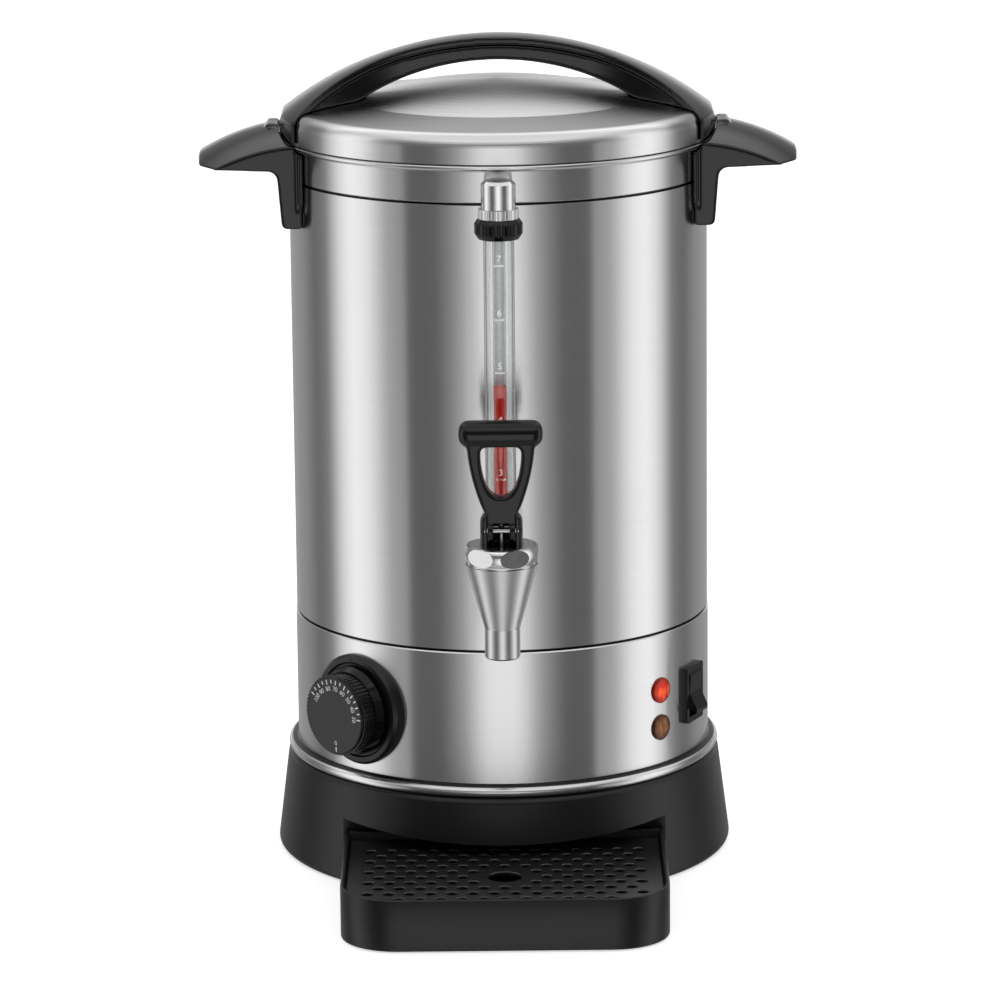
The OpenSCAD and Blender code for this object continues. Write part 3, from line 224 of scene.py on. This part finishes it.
def bright_metal(name, tone, rough):
    """Plated metal with faint wipe marks."""
    material, tree, shader = new_material(name)
    shader.inputs["Metallic"].default_value = 1.0
    wipe = noise(tree, object_point(tree), 220.0, 5.0)
    colour = ramp(tree, wipe, [(0.3, tone - 0.03), (0.7, tone + 0.03)])
    tree.links.new(colour, shader.inputs["Base Color"])
    tree.links.new(mapped(tree, wipe, rough * 0.7, rough * 1.3), shader.inputs["Roughness"])
    return material


def moulded(name, colour, rough, grain, relief, gloss=0.5):
    """Moulded plastic or rubber: a fine spark-eroded grain and slightly uneven gloss."""
    material, tree, shader = new_material(name)
    point = object_point(tree)
    fine = noise(tree, point, grain, 2.0)
    broad = noise(tree, point, 30.0)
    low = tuple(c * 0.85 for c in colour)
    high = tuple(min(1.0, c * 1.15) for c in colour)
    tree.links.new(ramp(tree, broad, [(0.3, low), (0.7, high)]), shader.inputs["Base Color"])
    tree.links.new(mapped(tree, broad, rough * 0.88, rough * 1.12), shader.inputs["Roughness"])
    shader.inputs["Specular IOR Level"].default_value = gloss
    bump(tree, shader, fine, relief, 0.0001)
    return material


def clear_tube(name):
    """Thin clear tube with a glossy skin, with painted shade darkening it at its sides."""
    material, tree, shader = new_material(name)
    shader.inputs["Transmission Weight"].default_value = 1.0
    shader.inputs["IOR"].default_value = 1.02
    shader.inputs["Coat Weight"].default_value = 1.0
    shader.inputs["Coat Roughness"].default_value = 0.04
    side = add(tree, "ShaderNodeLayerWeight", {"Blend": 0.3}).outputs["Facing"]
    # Painted shade: the colour darkens towards the tube's sides
    tint = ramp(tree, side, [(0.1, (0.97, 0.98, 0.98)), (0.45, 0.72), (0.8, 0.3)])
    tree.links.new(tint, shader.inputs["Base Color"])
    uneven = noise(tree, object_point(tree), 60.0)
    tree.links.new(mapped(tree, uneven, 0.0, 0.03), shader.inputs["Roughness"])
    return material


def gauge_tube(name):
    """Inner glass: clear, and red over its whole width up to the drink's level, both with painted shade
    darkening its sides.
    """
    material, tree, shader = new_material(name)
    side = add(tree, "ShaderNodeLayerWeight", {"Blend": 0.3}).outputs["Facing"]
    _, _, height = round_point(tree)
    wet = math_node(tree, "LESS_THAN", height, DRINK_TOP)
    # Painted shade at the glass's sides, in the clear part and in the red
    clear = ramp(tree, side, [(0.1, 0.3), (0.7, 0.08)])
    red = ramp(tree, side, [(0.2, (0.42, 0.02, 0.01)), (0.8, (0.16, 0.008, 0.005))])
    tree.links.new(blended(tree, wet, clear, red), shader.inputs["Base Color"])
    seen = mapped(tree, side, 0.1, 0.6)
    filled = math_node(tree, "MULTIPLY", wet, 0.92)
    tree.links.new(math_node(tree, "MAXIMUM", seen, filled), shader.inputs["Alpha"])
    uneven = noise(tree, object_point(tree), 60.0)
    tree.links.new(mapped(tree, uneven, 0.03, 0.07), shader.inputs["Roughness"])
    shader.inputs["Specular IOR Level"].default_value = 0.25
    return material


def lens(name, height, bright, deep, glow):
    """Faceted lamp lens of translucent plastic, lit from behind: uneven prisms whose bright facets are
    painted glints, and painted shade towards the rim.
    """
    material, tree, shader = new_material(name)
    point = object_point(tree)
    xyz = add(tree, "ShaderNodeSeparateXYZ", links={"Vector": point})
    aside = math_node(tree, "MULTIPLY_ADD", xyz.outputs["X"], math.cos(LAMP_AZIMUTH),
                      math_node(tree, "MULTIPLY", xyz.outputs["Y"], math.sin(LAMP_AZIMUTH)))
    above = math_node(tree, "SUBTRACT", xyz.outputs["Z"], height)
    squares = math_node(tree, "MULTIPLY_ADD", aside, aside, math_node(tree, "MULTIPLY", above, above))
    rim = share(tree, math_node(tree, "SQRT", squares), 0.45 * LAMP_RADIUS, 0.98 * LAMP_RADIUS)
    upright = add(tree, "ShaderNodeMapping", {"Scale": (1.0, 1.0, 0.5)}, {"Vector": point})
    cells = add(tree, "ShaderNodeTexVoronoi", {"Scale": 420.0}, {"Vector": upright.outputs["Vector"]},
                feature="F1")
    facets = cells.outputs["Distance"]
    # Painted shade darkens the rim, and the bright facet tone is a painted glint
    rim_shade = (*(c * 0.25 for c in deep), 1)
    tint = blended(tree, rim, ramp(tree, facets, [(0.1, bright), (0.7, deep)]), rim_shade)
    tree.links.new(tint, shader.inputs["Base Color"])
    tree.links.new(tint, shader.inputs["Emission Color"])
    shader.inputs["Emission Strength"].default_value = glow
    shader.inputs["Roughness"].default_value = 0.15
    shader.inputs["Specular IOR Level"].default_value = 0.25
    bump(tree, shader, facets, 0.4, 0.0005)
    return material


def drink(name):
    """Red drink: darker towards its foot."""
    material, tree, shader = new_material(name)
    _, _, height = round_point(tree)
    tint = ramp(tree, share(tree, height, DRINK_FOOT, DRINK_TOP),
                [(0.0, (0.36, 0.03, 0.018)), (1.0, (0.5, 0.042, 0.022))])
    tree.links.new(tint, shader.inputs["Base Color"])
    shader.inputs["Roughness"].default_value = 0.08
    shader.inputs["Subsurface Weight"].default_value = 0.15
    shader.inputs["Subsurface Radius"].default_value = (0.002, 0.0006, 0.0004)
    return material


def printed(name):
    """White printing ink, slightly uneven."""
    material, tree, shader = new_material(name)
    spots = noise(tree, object_point(tree), 2500.0)
    tree.links.new(ramp(tree, spots, [(0.3, 0.82), (0.6, 0.95)]), shader.inputs["Base Color"])
    shader.inputs["Roughness"].default_value = 0.5
    return material


MATERIALS = {
    "steel": brushed_steel("brushed_steel", 0.7, 0.22, 0.9, SHADED_SEAMS),
    "black_plastic": moulded("satin_black", (0.0065, 0.006, 0.006), 0.34, 2600.0, 0.05, 0.4),
    "gloss_black": moulded("smooth_black", (0.004, 0.004, 0.004), 0.13, 1800.0, 0.03, 0.35),
    "chrome": bright_metal("polished_chrome", 0.76, 0.2),
    "satin_chrome": brushed_steel("satin_chrome", 0.66, 0.31, 0.3),
    "screw_steel": bright_metal("plain_steel", 0.6, 0.3),
    "clear": clear_tube("clear_tube"),
    "rubber": moulded("black_rubber", (0.02, 0.02, 0.02), 0.7, 1500.0, 0.2),
    "silicone": moulded("pale_silicone", (0.72, 0.68, 0.62), 0.55, 900.0, 0.05),
    "aluminium": bright_metal("plain_aluminium", 0.66, 0.4),
    "copper": moulded("copper", (0.5, 0.2, 0.09), 0.3, 600.0, 0.05),
    "insulator": moulded("pale_insulator", (0.7, 0.66, 0.57), 0.5, 900.0, 0.08),
    "red_lens": lens("red_lens", HEATING_LAMP_HEIGHT, (0.95, 0.12, 0.02), (0.5, 0.012, 0.005), 0.7),
    "amber_lens": lens("amber_lens", WARM_LAMP_HEIGHT, (0.5, 0.19, 0.06), (0.24, 0.075, 0.02), 0.0),
}
INK = printed("white_ink")
ENGRAVED = moulded("engraved_black", (0.004, 0.004, 0.004), 0.6, 1500.0, 0.1)
DRINK = drink("red_drink")
GAUGE_GLASS = gauge_tube("gauge_glass")
TANK_STEEL = brushed_steel("tank_steel", 0.72, 0.4, 0.5, metallic=0.7)
HANDLE_BLACK = moulded("handle_black", (0.0032, 0.003, 0.003), 0.13, 2600.0, 0.03, 0.45)
GRID_BLACK = moulded("grid_black", (0.011, 0.0105, 0.01), 0.3, 1800.0, 0.03, 0.9)

for node, slot in SLOT_OF.items():
    nodes[node].data.materials.clear()
    nodes[node].data.materials.append(MATERIALS[slot])
nodes["gauge_glass"].data.materials[0] = GAUGE_GLASS
nodes["inner_tank"].data.materials[0] = TANK_STEEL


# Pieces that stand for CAD nodes or that the solids don't carry

def piece(name, mesh, body, material):
    """A mesh as a piece of the object that rides on a body."""
    obj = bpy.data.objects.new(name, mesh)
    mesh.materials.clear()
    mesh.materials.append(material)
    scene.collection.objects.link(obj)
    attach(obj, body)
    return obj


def made_mesh(name, bm):
    """The mesh of a bmesh, which is freed."""
    mesh = bpy.data.meshes.new(name)
    bm.to_mesh(mesh)
    bm.free()
    return mesh


def final_mesh(obj):
    """An object's mesh with its modifiers applied."""
    bpy.context.view_layer.update()
    return bpy.data.meshes.new_from_object(obj.evaluated_get(bpy.context.evaluated_depsgraph_get()))


def softened(node, voxel, rounds):
    """Shows a moulding with its edges rounded off: a copy of its mesh, remeshed finely and smoothed."""
    rough = bpy.data.objects.new(node + "_rough", nodes[node].data.copy())
    scene.collection.objects.link(rough)
    remesh = rough.modifiers.new("remesh", "REMESH")
    remesh.mode = "VOXEL"
    remesh.voxel_size = voxel
    smooth = rough.modifiers.new("smooth", "SMOOTH")
    smooth.iterations = rounds
    mesh = final_mesh(rough)
    mesh.shade_smooth()
    bpy.data.objects.remove(rough)
    return shown_instead(node, mesh)


def rounded_above(shown, start, end, rounds, swell):
    """Rounds a shown piece further above a height, by a share that grows from start to end."""
    upper = shown.vertex_groups.new(name="upper")
    for vertex in shown.data.vertices:
        upper.add([vertex.index], min(1.0, max(0.0, (vertex.co.z - start) / (end - start))), "REPLACE")
    smooth = shown.modifiers.new("smooth", "SMOOTH")
    smooth.iterations = rounds
    smooth.vertex_group = upper.name
    full = shown.modifiers.new("full", "DISPLACE")
    full.mid_level = 0.0
    full.strength = swell
    full.vertex_group = upper.name
    material = shown.data.materials[0]
    shown.data = final_mesh(shown)
    shown.data.materials[0] = material
    shown.data.shade_smooth()
    shown.modifiers.clear()


def eased(node, width):
    """Shows a moulding with its outer edges bevelled: a copy of its mesh with flat faces joined first."""
    bm = bmesh.new()
    bm.from_mesh(nodes[node].data)
    bmesh.ops.remove_doubles(bm, verts=bm.verts, dist=1e-6)
    bmesh.ops.dissolve_limit(bm, angle_limit=math.radians(1), verts=bm.verts, edges=bm.edges)
    sharp = [edge for edge in bm.edges
             if edge.is_manifold and edge.calc_face_angle_signed(0) > math.radians(40)]
    bmesh.ops.bevel(bm, geom=sharp, offset=width, segments=2, profile=0.5, affect="EDGES")
    mesh = made_mesh(node + "_eased", bm)
    mesh.shade_smooth()
    mesh.set_sharp_from_angle(angle=math.radians(40))
    for polygon in mesh.polygons:
        level = abs(polygon.normal.z) > 0.999
        polygon.use_smooth = not level
    return shown_instead(node, mesh)


def shown_instead(node, mesh):
    """A mesh as the piece that stands for a CAD node."""
    shown = piece(node + "_shown", mesh, BODY_OF[node], MATERIALS[SLOT_OF[node]])
    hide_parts(node)
    return shown


def flattened(node, share_off):
    """Shows a lamp lens lower on the wall than its solid stands, by a share of what stands proud."""
    mesh = nodes[node].data.copy()
    out = Vector((math.sin(LAMP_AZIMUTH), -math.cos(LAMP_AZIMUTH), 0))
    for vertex in mesh.vertices:
        proud = max(0.0, vertex.co.dot(out) - BAND_RADIUS)
        vertex.co -= out * proud * share_off
    return shown_instead(node, mesh)


flattened("lamp_lens_heating", share_off=0.6)
flattened("lamp_lens_warm", share_off=0.6)
lever = softened("tap_lever", voxel=0.0005, rounds=4)
rounded_above(lever, LEVER_NECK, LEVER_ARMS, rounds=40, swell=0.0004)
softened("bonnet", voxel=0.0004, rounds=4)
for node in ("side_handle_left", "side_handle_right", "lid_handle_cover", "lid_handle"):
    softened(node, voxel=0.0007, rounds=12).data.materials[0] = HANDLE_BLACK

# Valve spring, shown as a copy of its solid with a mesh of its own
spring = shown_instead("valve_spring", nodes["valve_spring"].data.copy())
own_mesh(spring)

eased("drip_tray", width=0.0008)
eased("drip_grid", width=0.0004).data.materials[0] = GRID_BLACK


def revolved(name, profile, steps=48):
    """A closed mesh from (radius, height) points turned about Z, the first and last on the axis."""
    bm = bmesh.new()
    rings = []
    for radius, height in profile:
        if radius < 1e-7:
            rings.append([bm.verts.new((0, 0, height))])
            continue
        turns = [2 * math.pi * i / steps for i in range(steps)]
        rings.append([bm.verts.new((radius * math.cos(t), radius * math.sin(t), height)) for t in turns])
    for below, above in zip(rings, rings[1:]):
        for i in range(steps):
            corners = [below[i % len(below)], below[(i + 1) % len(below)],
                       above[(i + 1) % len(above)], above[i % len(above)]]
            bm.faces.new(list(dict.fromkeys(corners)))
    bmesh.ops.recalc_face_normals(bm, faces=bm.faces)
    mesh = made_mesh(name, bm)
    mesh.shade_smooth()
    return mesh


def stamp(bm, text, size, place):
    """Adds a number as flat faces, centred on the place's origin in its x-y plane."""
    curve = bpy.data.curves.new("number", "FONT")
    curve.body = text
    curve.size = size
    curve.align_x = "CENTER"
    curve.align_y = "CENTER"
    curve.resolution_u = 3
    obj = bpy.data.objects.new("number", curve)
    scene.collection.objects.link(obj)
    mesh = final_mesh(obj)
    mesh.transform(place)
    bm.from_mesh(mesh)
    bpy.data.meshes.remove(mesh)
    bpy.data.objects.remove(obj)
    bpy.data.curves.remove(curve)


def bar(bm, length, width, place):
    """A flat bar along local y, placed by a matrix."""
    x, y = width / 2, length / 2
    corners = [(-x, -y), (x, -y), (x, y), (-x, y)]
    bm.faces.new([bm.verts.new(place @ Vector((*corner, 0))) for corner in corners])


def wall_place(azimuth, radius, height):
    """Local x along the wall, local y up, local z outwards, at a distance from the container's axis."""
    turn = Matrix.Rotation(azimuth, 4, "Z") @ Matrix.Rotation(math.pi / 2, 4, "X")
    return Matrix.Translation((0, 0, height)) @ turn @ Matrix.Translation((0, 0, radius))


# Dial on the knob's face: long marks with a number and short ones in turn, and off at the foot.
# A mark is its length and how far its middle is from the knob's axis, and angles are in degrees.
LONG_MARK = (0.0026, 0.0183)
SHORT_MARK = (0.0019, 0.0186)
MARK_WIDTH = 0.0007
DIAL_LIFT = 0.00012
NUMBER_SIZE = 0.0036
NUMBER_RADIUS = 0.0147
FIRST_ANGLE = 58
ANGLE_STEP = 10.45
OFF_ANGLE = -176


def dial_mark(bm, angle, mark, label=None):
    """Adds a mark to the dial, turned from the top, with a number inside it if there is one."""
    length, radius = mark
    face = wall_place(KNOB_AZIMUTH, KNOB_FACE + DIAL_LIFT, KNOB_HEIGHT)
    turn = face @ Matrix.Rotation(math.radians(angle), 4, "Z")
    bar(bm, length, MARK_WIDTH, turn @ Matrix.Translation((0, radius, 0)))
    if label:
        stamp(bm, label, NUMBER_SIZE, turn @ Matrix.Translation((0, NUMBER_RADIUS, 0)))


dial = bmesh.new()
for step, degrees in enumerate(range(100, 25, -5)):
    angle = FIRST_ANGLE - ANGLE_STEP * step
    if degrees % 10 == 0:
        dial_mark(dial, angle, LONG_MARK, str(degrees))
    else:
        dial_mark(dial, angle, SHORT_MARK)
dial_mark(dial, OFF_ANGLE, LONG_MARK, "0")
piece("dial_marks", made_mesh("dial_marks", dial), "knob", INK)

# Index line on the bezel, above the knob
INDEX_LENGTH = 0.0038
INDEX_WIDTH = 0.0009
INDEX_LIFT = 0.00008
INDEX_RADIUS = 0.0268
INDEX_ANGLE = math.radians(5.5)

index = bmesh.new()
bezel = wall_place(KNOB_AZIMUTH, BEZEL_FACE + INDEX_LIFT, KNOB_HEIGHT)
bar(index, INDEX_LENGTH, INDEX_WIDTH,
    bezel @ Matrix.Rotation(INDEX_ANGLE, 4, "Z") @ Matrix.Translation((0, INDEX_RADIUS, 0)))
piece("bezel_index", made_mesh("bezel_index", index), "dispenser", ENGRAVED)

# Level marks on the front of the inner glass, bent round it
LEVEL_THICKNESS = 0.0008
LEVEL_WIDTH = 0.0052
LEVEL_LIFT = 0.0001
LEVEL_NUMBER_SIZE = 0.0048
LEVEL_NUMBER_RISE = 0.0036

marks = bmesh.new()
for height, label in LEVEL_MARKS.items():
    bar(marks, LEVEL_THICKNESS, LEVEL_WIDTH, Matrix.Translation((0, height, 0)))
    stamp(marks, label, LEVEL_NUMBER_SIZE, Matrix.Translation((0, height + LEVEL_NUMBER_RISE, 0)))
bmesh.ops.subdivide_edges(marks, edges=marks.edges, cuts=3)
for vertex in marks.verts:
    x, height, _ = vertex.co
    angle = x / GLASS_RADIUS
    radius = GLASS_RADIUS + LEVEL_LIFT
    vertex.co = (radius * math.sin(angle), GAUGE_Y - radius * math.cos(angle), height)
piece("level_marks", made_mesh("level_marks", marks), "dispenser", INK)

# Drink standing in the inner glass, a hair clear of it and drawn up a little at the wall
DRINK_CLEARANCE = 0.00003

bore = GLASS_BORE - DRINK_CLEARANCE
column = revolved("drink_column", [
    (0, DRINK_FOOT), (bore * 0.9, DRINK_FOOT), (bore, DRINK_FOOT + 0.0003), (bore, DRINK_TOP + 0.0005),
    (bore * 0.9, DRINK_TOP + 0.0001), (bore * 0.6, DRINK_TOP - 0.0002), (0, DRINK_TOP - 0.0003)])
column.transform(Matrix.Translation((0, GAUGE_Y, 0)))
piece("drink_column", column, "dispenser", DRINK)


# Light: soft panels round the object, the same on both sides, as (degrees from the front, brightness)
PANELS = (
    (0, 1.3), (8, 1.25), (13, 1.0), (20, 0.55), (27, 0.31), (35, 0.13), (52, 0.11), (53, 0.4),
    (64, 0.5), (78, 1.1), (89, 1.28), (98, 1.0), (110, 0.27), (122, 0.17), (138, 0.3), (180, 0.4),
)
OVERHEAD = 1.25
ZENITH = (0.92, 0.92, 0.92, 1)
FROM_BELOW = (0.5, 0.5, 0.5, 1)
STRIP = (1.6, 1.6, 1.6, 1)
STRIP_RISE = math.radians(56)
BACKDROP = (0.95, 0.95, 0.95, 1)
DIM_FRONT = (0.16, 0.16, 0.16, 1)


def seen_directly(tree):
    """1 for what the camera sees, straight or through the clear tube, else 0."""
    path = add(tree, "ShaderNodeLightPath")
    return math_node(tree, "MAXIMUM", path.outputs["Is Camera Ray"], path.outputs["Is Transmission Ray"])


def studio():
    """A white room to the camera, with softer panels round the object and a large one overhead."""
    world = bpy.data.worlds.new("studio")
    scene.world = world
    world.use_nodes = True
    tree = world.node_tree
    tree.nodes.clear()
    output = tree.nodes.new("ShaderNodeOutputWorld")
    way = add(tree, "ShaderNodeTexCoord").outputs["Generated"]
    xyz = add(tree, "ShaderNodeSeparateXYZ", links={"Vector": way})
    x, y, z = (xyz.outputs[name] for name in "XYZ")
    aside = math_node(tree, "ABSOLUTE", x)
    azimuth = math_node(tree, "ARCTAN2", aside, math_node(tree, "MULTIPLY", y, -1.0))
    sides = ramp(tree, share(tree, azimuth, 0.0, math.pi), [(angle / 180, value) for angle, value in PANELS])

    # Dim in front above the horizon, pale behind along it, even from far below
    ahead = share(tree, azimuth, math.radians(75), math.radians(50))
    raised = share(tree, z, -0.1, 0.06)
    sides = blended(tree, math_node(tree, "MULTIPLY", ahead, raised), sides, DIM_FRONT)
    behind = share(tree, azimuth, math.radians(125), math.radians(165))
    low = math_node(tree, "MULTIPLY", share(tree, z, 0.2, 0.02), share(tree, z, -0.12, -0.02))
    sides = blended(tree, math_node(tree, "MULTIPLY", behind, low), sides, BACKDROP)
    sides = blended(tree, share(tree, z, -0.6, -0.8), sides, FROM_BELOW)

    # Overhead panel, weaker towards its sides and straight above, with a brighter strip over the back
    top = ramp(tree, aside, [(0.35, OVERHEAD), (0.8, 0.5 * OVERHEAD)])
    top = blended(tree, share(tree, z, 0.72, 0.92), top, ZENITH)
    lit = blended(tree, share(tree, z, 0.44, 0.66), sides, top)
    rise = math_node(tree, "ARCTAN2", z, y)
    off_strip = math_node(tree, "ABSOLUTE", math_node(tree, "SUBTRACT", rise, STRIP_RISE))
    strip = math_node(tree, "MULTIPLY", share(tree, off_strip, math.radians(9), math.radians(4)),
                      share(tree, aside, 0.9, 0.4))
    lit = blended(tree, strip, lit, STRIP)
    panels = add(tree, "ShaderNodeBackground", links={"Color": lit})
    white = add(tree, "ShaderNodeBackground", {"Color": (1, 1, 1, 1)})
    seen = add(tree, "ShaderNodeMixShader", links={
        0: seen_directly(tree), 1: panels.outputs["Background"], 2: white.outputs["Background"]})
    tree.links.new(seen.outputs["Shader"], output.inputs["Surface"])


studio()

# Floor: pale, white to the camera away from the object's shadow, and not mirrored in the steel
FLOOR_RADIUS = 6.0
FLOOR_DROP = 0.0002
FLOOR_GLOW = 0.6


def pale_floor(name):
    """Matt pale material that glows for what the camera sees."""
    material, tree, shader = new_material(name)
    cloud = noise(tree, object_point(tree), 6.0)
    tree.links.new(ramp(tree, cloud, [(0.3, 0.78), (0.7, 0.8)]), shader.inputs["Base Color"])
    shader.inputs["Roughness"].default_value = 0.9
    shader.inputs["Specular IOR Level"].default_value = 0.0
    shader.inputs["Emission Color"].default_value = (1, 1, 1, 1)
    glow = math_node(tree, "MULTIPLY", seen_directly(tree), FLOOR_GLOW)
    tree.links.new(glow, shader.inputs["Emission Strength"])
    return material


disc = bmesh.new()
bmesh.ops.create_circle(disc, cap_ends=True, radius=FLOOR_RADIUS, segments=96)
floor = bpy.data.objects.new("floor", made_mesh("floor", disc))
scene.collection.objects.link(floor)
floor.location.z = -FLOOR_DROP
floor.visible_glossy = False
floor.data.materials.append(pale_floor("pale_floor"))

# Camera of the photograph: a long lens from the front, looking a little down
FOCAL_LENGTH = 177.2255
CAMERA_PLACE = (-0.0006, -2.6269, 0.782)
LOOKING_DOWN = math.radians(12.7)
ROLL = math.radians(-0.569)

camera_data = bpy.data.cameras.new("camera")
camera_data.sensor_width = 36.0
camera_data.lens = FOCAL_LENGTH
camera_data.clip_end = 100.0
camera = bpy.data.objects.new("camera", camera_data)
scene.collection.objects.link(camera)
camera.matrix_world = (Matrix.Translation(CAMERA_PLACE)
                       @ Matrix.Rotation(math.pi / 2 - LOOKING_DOWN, 4, "X")
                       @ Matrix.Rotation(ROLL, 4, "Z"))
scene.camera = camera
